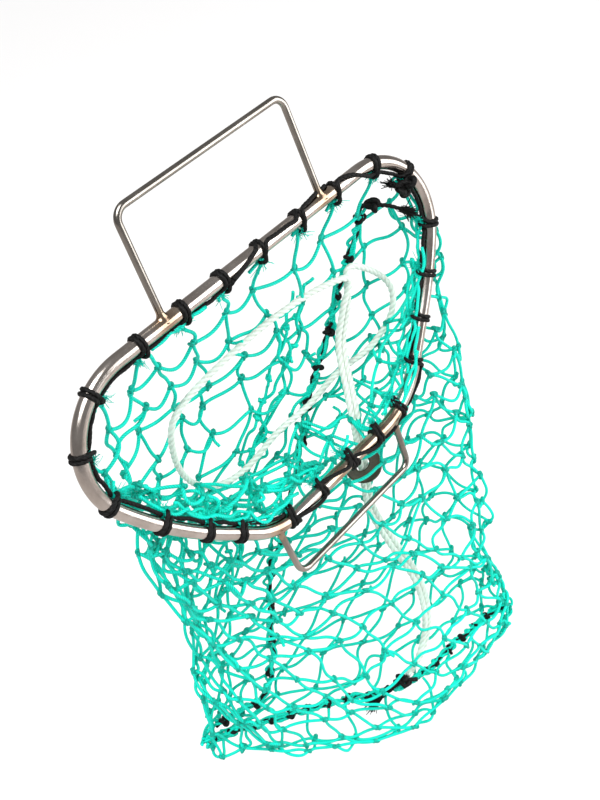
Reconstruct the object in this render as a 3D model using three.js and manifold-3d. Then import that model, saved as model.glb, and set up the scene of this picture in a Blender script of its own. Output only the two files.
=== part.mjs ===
// A landing net carried by hand: a steel hoop with two welded handles, a laced net bag,
// and a doubled pull rope with a sliding toggle inside the bag.
// Millimetres, +Z up. The origin is the middle of the upper handle's grip, where a hand holds it.

import * as THREE from 'three';
import { mergeVertices } from 'three/addons/utils/BufferGeometryUtils.js';
import Module from 'manifold-3d';

const wasm = await Module();
wasm.setup();

// Steel frame
const clearance = 0.3;
const hoopTubeRadius = 4;
const rodRadius = 2;
const frameLean = THREE.MathUtils.degToRad(15); // the hoop's plane leans forward from upright
const upperHandle = { footHalfWidth: 58.8, barHalfWidth: 57.6, reach: 60.8, bendRadius: 7 };
const lowerHandle = { footHalfWidth: 51.7, barHalfWidth: 50, reach: 34.6, bendRadius: 7 };
const weld = { outerRadius: 4, depth: 2.6, shoulder: 0.6, height: 1.8 };
// Sharp corners of the hoop's centre line, x across and y down from the long side, and their radii.
const hoopCorners = [
  { x: -167, y: 0, radius: 42.5 },
  { x: 162, y: 0, radius: 42.5 },
  { x: 115, y: 83.5, radius: 240 },
  { x: 65, y: 145, radius: 54 },
  { x: -54, y: 144, radius: 40 },
  { x: -106, y: 97.5, radius: 245 },
];
const shortSideDrop = 144.4;
const gentleRadius = 100; // a corner of more than this radius needs few points
const gentleSteps = 6;
const cornerSteps = 16;
const searchStep = 0.25; // how finely the hoop is searched for a place on it

// Lacing: places of the hitches along the hoop, measured from the middle of the long side.
const laceRadius = 1.5;
const hitchPlaces = [8.5, 39, 68, 102, 130, 169, 199, 226, 252, 281, 305, 330, 357, 382, 421, 444,
  474, 509, 541, 571, 606, 635, 663];
const wrapSteps = 9;
const wrapHalfWidth = 3;
const turnGrooveDepth = 0.8;
const turnEdge = 0.4; // how much narrower the turns are where they lie on the tube
const endKnot = { x: 110, drop: 24, out: 2, radius: 4, height: 9 };

// Net bag, in a frame whose origin is the middle of the hoop's long side
const netThickness = 2.2;
const rimSetBack = 9;
const rimInset = 3;
const mouthCentreDrop = 60; // the point that the bag's rim is drawn in towards, below the long side
const backBulge = 40;
const frontBulge = 30;
const frontSag = 50;
const leftFoldShift = 20;
const rightFoldShift = 9;
const seamHalfGap = 2.9;
const seamCordRadius = 1.4;
const seamCordMargin = 0.02; // share of the bottom seam left bare at each end of its cord
const seamCordSteps = 32;
const sideSeamKnot = { across: 0.82, down: 0.055, inside: 4.5, radius: 3, height: 8 };
const bottomSeamPoints = [[-124, 6.5, -313], [-49, -28, -337], [3, -64, -342], [60, -71, -348],
  [108, -76, -357]];
// Side seam on the back panel: [share of the way from the left fold to the right, share of the way down].
const sideSeamPlaces = [[0.8, 0.085], [0.753, 0.157], [0.712, 0.213], [0.668, 0.287], [0.626, 0.338],
  [0.585, 0.39], [0.55, 0.457], [0.518, 0.52], [0.473, 0.593], [0.438, 0.657], [0.402, 0.697],
  [0.382, 0.757], [0.364, 0.81], [0.35, 0.86], [0.33, 0.905]];

// Pull rope and toggle, in the object's frame
const ropeRadius = 2;
const ropeStrandOffset = 2.2;
const toggle = { x: 40, y: -33.3, z: -240, outerRadius: 12, holeRadius: 5.6, thickness: 3.2, tilt: 27 };
const ropeAnchor = { x: -2.5, y: -79, z: -392, radius: 3.2, height: 8 };
// The middle line between the two strands, from the anchor knot up to the loop.
const ropeLowerPoints = [[5, -81, -390], [20, -78, -391], [36, -74, -374], [43, -65, -343], [41, -47, -308],
  [40, -34.5, -283], [40, -33.3, -272], [40, -33.3, -240], [40, -33.3, -208], [40.8, -32.3, -200],
  [48, -24, -185], [59, -12, -163], [69, -11, -141]];
const ropeLoopPoints = [[78, -9, -120], [100, -12, -138], [106, -15, -151], [105, -16, -163], [100, -15, -173],
  [84, -12, -184], [54, -9, -185], [28, -6, -193], [5, -2, -197], [-21, 5, -211], [-36, 8, -211],
  [-50, 10, -202], [-61, 9, -181], [-64, 6, -154], [-60, 4, -137], [-50, 4, -131], [-31, 2, -125],
  [21, -3, -118], [60, -8, -120], [74, -12, -124]];
const ropeSteps = 80;

const materials = {
  steel: new THREE.MeshStandardMaterial({ color: 0x9c948c, roughness: 0.35, metalness: 1 }),
  lacing: new THREE.MeshStandardMaterial({ color: 0x16171a, roughness: 0.8, metalness: 0 }),
  net: new THREE.MeshStandardMaterial({ color: 0x10b896, roughness: 0.65, metalness: 0 }),
  rope: new THREE.MeshStandardMaterial({ color: 0xd9dcc8, roughness: 0.75, metalness: 0 }),
  toggle: new THREE.MeshStandardMaterial({ color: 0x4a4633, roughness: 0.6, metalness: 0 }),
};

// A curve that passes straight from point to point, with one extrusion step for each.
class PointPath extends THREE.Curve {
  constructor(points) {
    super();
    this.points = points;
  }

  getPoint(t, target = new THREE.Vector3()) {
    const along = THREE.MathUtils.clamp(t, 0, 1) * (this.points.length - 1);
    const index = Math.min(Math.floor(along), this.points.length - 2);
    return target.lerpVectors(this.points[index], this.points[index + 1], along - index);
  }

  getUtoTmapping(u) {
    return u;
  }
}

function vector([x, y, z = 0]) {
  return new THREE.Vector3(x, y, z);
}

function tube(points, radius, sides) {
  const section = new THREE.Shape();
  for (let side = 0; side < sides; side += 1) {
    const angle = (2 * Math.PI * side) / sides;
    const corner = [radius * Math.cos(angle), radius * Math.sin(angle)];
    if (side === 0) {
      section.moveTo(...corner);
    } else {
      section.lineTo(...corner);
    }
  }
  section.closePath();
  return new THREE.ExtrudeGeometry(section, { steps: points.length - 1, extrudePath: new PointPath(points) });
}

function smoothPoints(points, steps) {
  const curve = new THREE.CatmullRomCurve3(points.map(vector), false, 'centripetal');
  return curve.getSpacedPoints(steps);
}

// Points round a bend at `corner`, from the side of `before` to the side of `after`.
function bendPoints(before, corner, after, radius, steps) {
  const back = before.clone().sub(corner).normalize();
  const ahead = after.clone().sub(corner).normalize();
  const halfAngle = back.angleTo(ahead) / 2;
  const centre = back.clone().add(ahead).normalize().multiplyScalar(radius / Math.sin(halfAngle)).add(corner);
  const first = back.clone().multiplyScalar(radius / Math.tan(halfAngle)).add(corner).sub(centre);
  const last = ahead.clone().multiplyScalar(radius / Math.tan(halfAngle)).add(corner).sub(centre);
  const axis = first.clone().cross(last).normalize();
  const turn = first.angleTo(last);
  const points = [];
  for (let step = 0; step <= steps; step += 1) {
    points.push(first.clone().applyAxisAngle(axis, (turn * step) / steps).add(centre));
  }
  return points;
}

// ---- Solids for cuts and joins ----

function toManifold(geometry) {
  const bare = geometry.clone();
  bare.deleteAttribute('normal');
  bare.deleteAttribute('uv');
  const merged = mergeVertices(bare, 1e-4);
  return new wasm.Manifold(new wasm.Mesh({
    numProp: 3,
    vertProperties: new Float32Array(merged.attributes.position.array),
    triVerts: new Uint32Array(merged.index.array),
  }));
}

function fromManifold(solid) {
  const mesh = solid.getMesh();
  const geometry = new THREE.BufferGeometry();
  geometry.setAttribute('position', new THREE.BufferAttribute(new Float32Array(mesh.vertProperties), 3));
  geometry.setIndex(new THREE.BufferAttribute(new Uint32Array(mesh.triVerts), 1));
  geometry.computeVertexNormals();
  return geometry;
}

// ---- The hoop's centre line, in the frame's plane: x across, y up, origin at the grip ----

function hoopOutline() {
  const corners = hoopCorners.map(({ x, y }) => new THREE.Vector3(x, -upperHandle.reach - y, 0));
  const points = [];
  corners.forEach((corner, index) => {
    const before = corners[(index + corners.length - 1) % corners.length];
    const after = corners[(index + 1) % corners.length];
    const { radius } = hoopCorners[index];
    const steps = radius > gentleRadius ? gentleSteps : cornerSteps;
    points.push(...bendPoints(before, corner, after, radius, steps));
  });
  return points;
}

// Lets the hoop be read by the distance along it, clockwise from the middle of the long side.
class HoopLine {
  constructor() {
    this.points = hoopOutline();
    this.points.push(this.points[0]);
    this.lengths = [0];
    for (let index = 1; index < this.points.length; index += 1) {
      this.lengths.push(this.lengths[index - 1] + this.points[index].distanceTo(this.points[index - 1]));
    }
    this.total = this.lengths.at(-1);
    const firstBendEnd = this.points[cornerSteps];
    this.start = this.lengths[cornerSteps] + Math.abs(firstBendEnd.x);
  }

  at(distance) {
    const wanted = THREE.MathUtils.euclideanModulo(this.start + distance, this.total);
    let index = this.lengths.findIndex((length) => length > wanted);
    if (index < 1) {
      index = this.lengths.length - 1;
    }
    const from = this.points[index - 1];
    const to = this.points[index];
    const share = (wanted - this.lengths[index - 1]) / (this.lengths[index] - this.lengths[index - 1]);
    return from.clone().lerp(to, share);
  }

  direction(distance) {
    return this.at(distance + 0.5).sub(this.at(distance - 0.5)).normalize();
  }

  inward(distance) {
    const along = this.direction(distance);
    return new THREE.Vector3(along.y, -along.x, 0);
  }

  // Distance at which the hoop passes x on its short side.
  shortSideAt(x) {
    let best = 0;
    for (let distance = 0; distance < this.total; distance += searchStep) {
      const here = this.at(distance);
      const onShortSide = here.y < -upperHandle.reach - shortSideDrop / 2;
      if (onShortSide && Math.abs(here.x - x) < Math.abs(this.at(best).x - x)) {
        best = distance;
      }
    }
    return best;
  }
}

const hoopLine = new HoopLine();

// ---- Steel frame ----

function hoopGeometry() {
  const rings = 76;
  const sides = 12;
  const positions = [];
  const indices = [];
  const outward = new THREE.Vector3(0, 0, 1);
  for (let ring = 0; ring < rings; ring += 1) {
    const distance = (hoopLine.total * ring) / rings;
    const centre = hoopLine.at(distance);
    const inward = hoopLine.inward(distance);
    for (let side = 0; side < sides; side += 1) {
      const angle = (2 * Math.PI * side) / sides;
      const point = centre.clone()
        .addScaledVector(inward, hoopTubeRadius * Math.cos(angle))
        .addScaledVector(outward, hoopTubeRadius * Math.sin(angle));
      positions.push(point.x, point.y, point.z);
      const nextRing = (ring + 1) % rings;
      const nextSide = (side + 1) % sides;
      const here = ring * sides + side;
      const beside = ring * sides + nextSide;
      const ahead = nextRing * sides + side;
      const across = nextRing * sides + nextSide;
      indices.push(here, ahead, across, here, across, beside);
    }
  }
  const geometry = new THREE.BufferGeometry();
  geometry.setAttribute('position', new THREE.Float32BufferAttribute(positions, 3));
  geometry.setIndex(indices);
  geometry.computeVertexNormals();
  return geometry;
}

// Where a handle's rod stops short of the hoop's tube, when it meets the tube at x.
function footPoint(x, distance, rodSide) {
  const slope = Math.abs(hoopLine.direction(distance).y / hoopLine.direction(distance).x);
  const setOff = (hoopTubeRadius + clearance) * Math.hypot(1, slope) + rodRadius * slope;
  return new THREE.Vector3(x, hoopLine.at(distance).y + rodSide * setOff, 0);
}

function handleGeometry(leftFoot, rightFoot, barY, handle) {
  const leftBend = new THREE.Vector3(-handle.barHalfWidth, barY, 0);
  const rightBend = new THREE.Vector3(handle.barHalfWidth, barY, 0);
  const points = [
    leftFoot,
    ...bendPoints(leftFoot, leftBend, rightBend, handle.bendRadius, 6),
    new THREE.Vector3(0, barY, 0),
    ...bendPoints(leftBend, rightBend, rightFoot, handle.bendRadius, 6),
    rightFoot,
  ];
  return tube(points, rodRadius, 12);
}

// A fillet round a rod's foot, hollowed to sit over the hoop's tube.
function weldGeometry(foot, distance, rodSide) {
  const innerRadius = rodRadius + clearance;
  const { outerRadius, depth, shoulder, height } = weld;
  const profile = [[innerRadius, -depth], [outerRadius, -depth], [outerRadius, -shoulder],
    [innerRadius, height], [innerRadius, -depth]];
  const ring = new THREE.LatheGeometry(profile.map(([x, y]) => new THREE.Vector2(x, y)), 14);
  if (rodSide < 0) {
    ring.rotateX(Math.PI);
  }
  ring.translate(foot.x, foot.y, foot.z);
  const fatTube = new THREE.CylinderGeometry(hoopTubeRadius + clearance, hoopTubeRadius + clearance, 30, 20);
  const along = hoopLine.direction(distance);
  fatTube.applyQuaternion(new THREE.Quaternion().setFromUnitVectors(new THREE.Vector3(0, 1, 0), along));
  const centre = hoopLine.at(distance);
  fatTube.translate(centre.x, centre.y, centre.z);
  return fromManifold(toManifold(ring).subtract(toManifold(fatTube)));
}

function addSteelFrame(group) {
  const upperLeft = hoopLine.total - upperHandle.footHalfWidth;
  const upperRight = upperHandle.footHalfWidth;
  const lowerLeft = hoopLine.shortSideAt(-lowerHandle.footHalfWidth);
  const lowerRight = hoopLine.shortSideAt(lowerHandle.footHalfWidth);
  const foot = (x, distance, side) => ({ point: footPoint(x, distance, side), distance, side });
  const feet = {
    upper_left: foot(-upperHandle.footHalfWidth, upperLeft, 1),
    upper_right: foot(upperHandle.footHalfWidth, upperRight, 1),
    lower_left: foot(-lowerHandle.footHalfWidth, lowerLeft, -1),
    lower_right: foot(lowerHandle.footHalfWidth, lowerRight, -1),
  };
  const lowerBarY = -upperHandle.reach - shortSideDrop - lowerHandle.reach;
  addPart(group, 'hoop', hoopGeometry(), materials.steel);
  addPart(group, 'upper_handle',
    handleGeometry(feet.upper_left.point, feet.upper_right.point, 0, upperHandle), materials.steel);
  addPart(group, 'lower_handle',
    handleGeometry(feet.lower_left.point, feet.lower_right.point, lowerBarY, lowerHandle), materials.steel);
  for (const [name, { point, distance, side }] of Object.entries(feet)) {
    addPart(group, `weld_${name}`, weldGeometry(point, distance, side), materials.steel);
  }
}

// ---- Lacing: two turns of cord round the hoop, and the run of cord that leads to them ----

const wrapInnerRadius = (hoopTubeRadius + 1.5 * clearance) / Math.cos(Math.PI / wrapSteps);
const wrapRadius = wrapInnerRadius + laceRadius;

// Two turns of cord side by side, as one ring with a groove between them.
function turnsGeometry(distance) {
  const outerRadius = wrapRadius + laceRadius;
  const innerHalfWidth = wrapHalfWidth - turnEdge;
  const profile = [[wrapInnerRadius, -innerHalfWidth], [wrapRadius, -wrapHalfWidth],
    [outerRadius, -laceRadius], [outerRadius - turnGrooveDepth, 0], [outerRadius, laceRadius],
    [wrapRadius, wrapHalfWidth], [wrapInnerRadius, innerHalfWidth], [wrapInnerRadius, -innerHalfWidth]];
  const ring = new THREE.LatheGeometry(profile.map(([x, y]) => new THREE.Vector2(x, y)), wrapSteps);
  const along = hoopLine.direction(distance);
  ring.applyQuaternion(new THREE.Quaternion().setFromUnitVectors(new THREE.Vector3(0, 1, 0), along));
  const centre = hoopLine.at(distance);
  return ring.translate(centre.x, centre.y, centre.z);
}

function laceRunGeometry(from, to) {
  const steps = Math.max(2, Math.round((to - from) / 10));
  const points = [];
  for (let step = 0; step <= steps; step += 1) {
    const distance = from + ((to - from) * step) / steps;
    points.push(hoopLine.at(distance).addScaledVector(hoopLine.inward(distance), wrapRadius));
  }
  return tube(points, laceRadius, 6);
}

function stitchGeometry(index) {
  const here = hitchPlaces[index];
  const previous = index > 0 ? hitchPlaces[index - 1] : hitchPlaces.at(-1) - hoopLine.total;
  const run = laceRunGeometry(previous + wrapHalfWidth + 3 * clearance, here);
  return fromManifold(toManifold(turnsGeometry(here)).add(toManifold(run)));
}

function knotGeometry(x, y, z, radius, height) {
  const lump = new THREE.SphereGeometry(radius, 10, 8);
  lump.scale(1, 1, height / (2 * radius));
  return lump.translate(x, y, z);
}

function addLacing(group) {
  hitchPlaces.forEach((place, index) => {
    const number = String(index + 1).padStart(2, '0');
    addPart(group, `lacing_stitch_${number}`, stitchGeometry(index), materials.lacing);
  });
  const { x, drop, out, radius, height } = endKnot;
  const lump = knotGeometry(x, -upperHandle.reach - drop, out, radius, height);
  addPart(group, 'lacing_end_knot', lump, materials.lacing);
}

// ---- Net bag: a front and a back panel that meet at two folds and at the bottom seam ----

const hangOrigin = new THREE.Vector3(
  0, -upperHandle.reach * Math.sin(frameLean), -upperHandle.reach * Math.cos(frameLean));
const bottomSeam = new THREE.CatmullRomCurve3(bottomSeamPoints.map(vector), false, 'centripetal');

// The distances along the hoop of its leftmost and rightmost points, where the folds start.
function foldDistances() {
  let left = 0;
  let right = 0;
  for (let distance = 0; distance < hoopLine.total; distance += searchStep) {
    if (hoopLine.at(distance).x < hoopLine.at(left).x) {
      left = distance;
    }
    if (hoopLine.at(distance).x > hoopLine.at(right).x) {
      right = distance;
    }
  }
  return { left, right };
}

const folds = foldDistances();

function rimPoint(share, isBack) {
  const overTheTop = hoopLine.total - folds.left + folds.right;
  const distance = isBack
    ? folds.left + share * overTheTop
    : folds.left - share * (hoopLine.total - overTheTop);
  const inPlane = hoopLine.at(distance);
  const toCentre = new THREE.Vector3(0, -upperHandle.reach - mouthCentreDrop, 0).sub(inPlane).normalize();
  inPlane.addScaledVector(toCentre, rimInset);
  const down = -upperHandle.reach - inPlane.y;
  return new THREE.Vector3(
    inPlane.x,
    -down * Math.sin(frameLean) + rimSetBack * Math.cos(frameLean),
    -down * Math.cos(frameLean) - rimSetBack * Math.sin(frameLean));
}

// A point of a panel: across runs 0 to 1 from the left fold to the right, down runs 0 to 1 to the seam.
function panelPoint(across, down, isBack) {
  const seamShare = (1 - Math.cos(Math.PI * across)) / 2;
  const alongSeam = bottomSeam.getTangentAt(seamShare);
  const sideways = new THREE.Vector3(-alongSeam.y, alongSeam.x, 0).normalize();
  const foot = bottomSeam.getPointAt(seamShare).addScaledVector(sideways, isBack ? seamHalfGap : -seamHalfGap);
  const point = rimPoint(across, isBack).lerp(foot, down);
  const fullness = Math.sin(Math.PI * across) ** 0.8;
  point.x += (1 - seamShare) * leftFoldShift * Math.sin(Math.PI * down) ** 0.6;
  point.x += seamShare * rightFoldShift * Math.sin(Math.PI * down ** 0.75);
  if (isBack) {
    point.y += backBulge * fullness * Math.sin(Math.PI * down) ** 0.8;
  } else {
    const belly = Math.sin(Math.PI * down ** 3) ** 0.9;
    point.y -= frontBulge * fullness * belly;
    point.z -= frontSag * fullness * belly;
  }
  return point;
}

// Unit normal of a panel, pointing out of the bag.
function panelNormal(across, down, isBack) {
  const step = 0.01; // how far apart the points lie that give the slope
  const rightward = panelPoint(Math.min(across + step, 1), down, isBack)
    .sub(panelPoint(Math.max(across - step, 0), down, isBack));
  const downward = panelPoint(across, Math.min(down + step, 1 - 1e-6), isBack)
    .sub(panelPoint(across, Math.max(down - step, 0), isBack));
  const normal = downward.cross(rightward).normalize();
  return isBack ? normal.negate() : normal;
}

function panelGeometry(isBack) {
  const columns = 24;
  const rows = 15;
  const foldMargin = 0.02;
  const positions = [];
  const indices = [];
  for (const side of [1, -1]) {
    for (let row = 0; row <= rows; row += 1) {
      for (let column = 0; column <= columns; column += 1) {
        const across = foldMargin + (1 - 2 * foldMargin) * (column / columns);
        const down = Math.min(row / rows, 1 - 1e-6);
        const point = panelPoint(across, down, isBack)
          .addScaledVector(panelNormal(across, down, isBack), (side * netThickness) / 2);
        positions.push(point.x, point.y, point.z);
      }
    }
  }
  const perRow = columns + 1;
  const perSide = perRow * (rows + 1);
  const quad = (a, b, c, d) => indices.push(a, b, c, a, c, d);
  const at = (column, row) => row * perRow + column;
  for (let row = 0; row < rows; row += 1) {
    for (let column = 0; column < columns; column += 1) {
      const corners = [at(column, row), at(column, row + 1), at(column + 1, row + 1), at(column + 1, row)];
      quad(...corners);
      quad(...corners.map((corner) => corner + perSide).reverse());
    }
  }
  const rim = [];
  for (let column = 0; column < columns; column += 1) rim.push(at(column, 0));
  for (let row = 0; row < rows; row += 1) rim.push(at(columns, row));
  for (let column = columns; column > 0; column -= 1) rim.push(at(column, rows));
  for (let row = rows; row > 0; row -= 1) rim.push(at(0, row));
  rim.forEach((corner, index) => {
    const next = rim[(index + 1) % rim.length];
    quad(corner, next, next + perSide, corner + perSide);
  });
  if (isBack) {
    for (let index = 0; index < indices.length; index += 3) {
      [indices[index], indices[index + 1]] = [indices[index + 1], indices[index]];
    }
  }
  const geometry = new THREE.BufferGeometry();
  geometry.setAttribute('position', new THREE.Float32BufferAttribute(positions, 3));
  geometry.setIndex(indices);
  geometry.computeVertexNormals();
  return geometry;
}

function addNetBag(group) {
  addPart(group, 'net_back', panelGeometry(true), materials.net);
  addPart(group, 'net_front', panelGeometry(false), materials.net);
  const inset = netThickness / 2 + seamCordRadius + clearance;
  const sidePoints = sideSeamPlaces.map(([across, down]) => (
    panelPoint(across, down, true).addScaledVector(panelNormal(across, down, true), -inset).toArray()));
  const sideCord = tube(smoothPoints(sidePoints, seamCordSteps), seamCordRadius, 8);
  addPart(group, 'side_seam', sideCord, materials.lacing);
  const seamPoints = [];
  for (let step = 0; step <= seamCordSteps; step += 1) {
    seamPoints.push(bottomSeam.getPointAt(seamCordMargin + ((1 - 2 * seamCordMargin) * step) / seamCordSteps));
  }
  addPart(group, 'bottom_seam', tube(seamPoints, seamCordRadius, 8), materials.lacing);
  const { across, down, inside, radius, height } = sideSeamKnot;
  const knotPlace = panelPoint(across, down, true).addScaledVector(panelNormal(across, down, true), -inside);
  addPart(group, 'side_seam_knot', knotGeometry(...knotPlace.toArray(), radius, height), materials.lacing);
}

// ---- Pull rope: both ends tied at the bottom seam, threaded through the toggle, ending in a loop ----

function ropeRoute() {
  const shifted = (offset) => ropeLowerPoints.map(([x, y, z]) => [x + offset, y, z]);
  return [...shifted(ropeStrandOffset), ...ropeLoopPoints, ...shifted(-ropeStrandOffset).reverse()];
}

function toggleGeometry() {
  const { holeRadius, outerRadius, thickness, tilt } = toggle;
  const half = thickness / 2;
  const edge = 0.6;
  const profile = [[holeRadius, -half + edge], [holeRadius + edge, -half], [outerRadius - edge, -half],
    [outerRadius, -half + edge], [outerRadius, half - edge], [outerRadius - edge, half],
    [holeRadius + edge, half], [holeRadius, half - edge], [holeRadius, -half + edge]];
  const ring = new THREE.LatheGeometry(profile.map(([x, y]) => new THREE.Vector2(x, y)), 24);
  ring.rotateX(Math.PI / 2);
  const towardsViewer = new THREE.Vector3(-0.65, -0.76, 0).normalize();
  const hingeLine = new THREE.Vector3(0, 0, 1).cross(towardsViewer).normalize();
  ring.applyQuaternion(new THREE.Quaternion().setFromAxisAngle(hingeLine, THREE.MathUtils.degToRad(tilt)));
  return ring.translate(toggle.x, toggle.y, toggle.z);
}

function addRope(group) {
  addPart(group, 'pull_rope', tube(smoothPoints(ropeRoute(), ropeSteps), ropeRadius, 8), materials.rope);
  addPart(group, 'toggle', toggleGeometry(), materials.toggle);
  const { x, y, z, radius, height } = ropeAnchor;
  addPart(group, 'rope_anchor_knot', knotGeometry(x, y, z, radius, height), materials.lacing);
}

// ---- Assembly ----

function addPart(group, name, geometry, material) {
  const mesh = new THREE.Mesh(geometry, material);
  mesh.name = name;
  group.add(mesh);
}

function assemble() {
  const net = new THREE.Group();
  const frame = new THREE.Group();
  frame.rotation.x = Math.PI / 2 - frameLean;
  addSteelFrame(frame);
  addLacing(frame);
  const bag = new THREE.Group();
  bag.position.copy(hangOrigin);
  addNetBag(bag);
  net.add(frame, bag);
  addRope(net);
  return net;
}

export default assemble();
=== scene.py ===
"""A landing net: steel hoop and handles, black lacing, a bag of knotted twine, a pull rope and its toggle.

Shapes are worked out in millimetres in the part's own frame, +Z up with the origin in the middle of the upper
handle's grip, and turned to metres as each mesh is made. Values that repeat the part's source keep its names.
"""

import bpy
import numpy as np
from mathutils import Matrix, Vector


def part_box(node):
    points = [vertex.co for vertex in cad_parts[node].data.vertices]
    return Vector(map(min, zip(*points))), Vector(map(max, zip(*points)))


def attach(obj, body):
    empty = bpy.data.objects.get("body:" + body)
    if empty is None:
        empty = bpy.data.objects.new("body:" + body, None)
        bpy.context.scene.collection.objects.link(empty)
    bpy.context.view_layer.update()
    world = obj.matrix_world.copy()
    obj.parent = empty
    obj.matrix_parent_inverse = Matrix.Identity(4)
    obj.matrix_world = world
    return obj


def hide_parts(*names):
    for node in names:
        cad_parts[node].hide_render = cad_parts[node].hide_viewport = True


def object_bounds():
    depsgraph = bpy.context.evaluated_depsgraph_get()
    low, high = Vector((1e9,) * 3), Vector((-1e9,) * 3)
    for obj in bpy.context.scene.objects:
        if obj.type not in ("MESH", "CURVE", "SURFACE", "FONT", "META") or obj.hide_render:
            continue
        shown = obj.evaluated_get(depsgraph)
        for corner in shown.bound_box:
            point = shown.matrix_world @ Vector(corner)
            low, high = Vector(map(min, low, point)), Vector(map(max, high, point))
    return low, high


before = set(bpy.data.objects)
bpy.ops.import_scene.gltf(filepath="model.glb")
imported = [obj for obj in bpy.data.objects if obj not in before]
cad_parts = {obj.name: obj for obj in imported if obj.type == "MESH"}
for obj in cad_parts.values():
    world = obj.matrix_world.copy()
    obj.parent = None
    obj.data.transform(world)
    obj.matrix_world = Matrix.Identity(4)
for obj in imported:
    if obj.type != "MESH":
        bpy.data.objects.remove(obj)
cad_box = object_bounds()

MM = 0.001
TURN = 2 * np.pi  # a whole turn, in radians
UP = np.array([0.0, 0.0, 1.0])

# Camera: its place, and the directions of its view and of its picture's upright
CAMERA_PLACE = (-289.77, -370.86, 265.84)
CAMERA_FORWARD = (0.47587, 0.55430, -0.68286)
CAMERA_UP = (0.59211, 0.37220, 0.71476)
CAMERA_LENS = 49.33
# The floor: how far it lies under the bag, and how far it reaches, in metres
FLOOR_DROP = 420.0
FLOOR_REACH = 8.0

# Steel frame, as in the part's source
HOOP_RADIUS = 4.0
ROD_RADIUS = 2.0
FRAME_LEAN = np.radians(15)
UPPER_HANDLE = {"foot": 58.8, "bar": 57.6, "reach": 60.8, "bend": 7.0}
LOWER_HANDLE = {"foot": 51.7, "bar": 50.0, "reach": 34.6, "bend": 7.0}
# The hoop's corners: across, down from its long side, and the radius of the bend there
HOOP_CORNERS = [
    (-167, 0, 42.5), (162, 0, 42.5), (115, 83.5, 240), (65, 145, 54), (-54, 144, 40), (-106, 97.5, 245)]
SHORT_SIDE_DROP = 144.4
LONG_SIDE = -UPPER_HANDLE["reach"]

# Tints of steel that has been heated, from untouched to hottest, and how far they reach from a weld
HEAT_TINTS = [
    (0.0, (1.0, 1.0, 1.0)), (0.4, (0.93, 0.82, 0.68)), (0.75, (0.66, 0.50, 0.38)), (1.0, (0.36, 0.30, 0.28))]
HEAT_REACH = 12.0
# Places along the hoop that were heated, besides those under the handles' feet
HEATED_PLACES = [303.0, 318.0, 343.0]
# A weld's fillet: how far it spreads over the tube, and how far it climbs the rod
WELD_WIDTH = 2.3
WELD_HEIGHT = 4.2

# Lacing: its cord is pulled tight, so a turn round the tube is pressed flat and stands out by 0.7 of its
# thickness. A lay is the length of cord in which its strands turn once.
LACE_RADIUS = 1.22
LACE_LAY = 7.5
KNOT_CORD_RADIUS = 1.5
TURN_RADIUS = HOOP_RADIUS + 0.4 * LACE_RADIUS
# Places of the hitches along the hoop from the middle of its long side, as in the part's source
HITCH_PLACES = [
    8.5, 39, 68, 102, 130, 169, 199, 226, 252, 281, 305, 330, 357, 382, 421, 444, 474, 509, 541, 571, 606,
    635, 663]
# Where the cord that leads to a hitch starts and ends round the tube: 0 is the hoop's inside, 90 its face
RUN_ANGLES = {
    0: (60, 125), 1: (125, 120), 2: (150, 185), 3: (150, 20), 9: (160, 175), 10: (165, 175), 11: (118, 50),
    12: (70, 25), 13: (125, 80)}
THREE_TURNS = (9, 10, 11, 13)
# While the lacing's course is smoothed, a degree round the tube counts as this many millimetres
DEGREE_SIZE = 0.08

# Net bag, in a frame whose origin is the middle of the hoop's long side, as in the part's source but for 2 mm
# more sag in front and the waves
RIM_SET_BACK = 9.0
RIM_INSET = 3.0
MOUTH_CENTRE_DROP = 60.0
BACK_BULGE = 40.0
FRONT_BULGE = 30.0
FRONT_SAG = 52.0
LEFT_FOLD_SHIFT = 20.0
RIGHT_FOLD_SHIFT = 9.0
RIGHT_FOLD_WAVE = 14.0
SEAM_HALF_GAP = 2.9
BOTTOM_SEAM_POINTS = [
    (-124, 6.5, -313), (-49, -28, -337), (3, -64, -342), (60, -71, -348), (108, -76, -357)]
# How full the front hangs from its left fold to its right one, and how the left fold wanders on its way down
FRONT_HANG = [
    (0.3, 1.0), (0.45, 1.13), (0.51, 1.1), (0.58, 0.84), (0.63, 0.8), (0.68, 0.9), (0.8, 1.2), (1.0, 1.8)]
LEFT_FOLD_WAVE = [(0.0, 0), (0.3, 0), (0.44, -7), (0.59, 13), (0.7, 5), (0.8, -6), (0.97, -3), (1.0, 0)]
# Where the side seam runs on the back, across it from its left fold and down it. The last four are only here.
SIDE_SEAM_PLACES = [
    (0.8, 0.085), (0.753, 0.157), (0.712, 0.213), (0.668, 0.287), (0.626, 0.338), (0.585, 0.39),
    (0.55, 0.457), (0.518, 0.52), (0.473, 0.593), (0.438, 0.657), (0.402, 0.697), (0.382, 0.757),
    (0.364, 0.81), (0.35, 0.86), (0.33, 0.905), (0.29, 0.957), (0.245, 0.967), (0.192, 0.972),
    (0.143, 0.983)]

# Twine of the bag, netting hung square: bars run down the bag and round it
COLUMNS = 26
ROWS = 17
TWINE_RADIUS = 1.03
THIN_TWINE = TWINE_RADIUS * 0.95
TWINE_LAY = 4.5
BAR_LENGTH = 28.5
BAR_STEPS = 15
# Where folds of the net have caught: how many places, and how far their pull reaches
GATHERS = 14
GATHER_REACH = 22.0
# How the knots settle: the pulls of gravity, how far each lowers a knot, and how far a knot may stray
SETTLING_PULLS = 160
SETTLING_DROP = 0.25
SETTLING_REACH = 8.0
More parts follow.
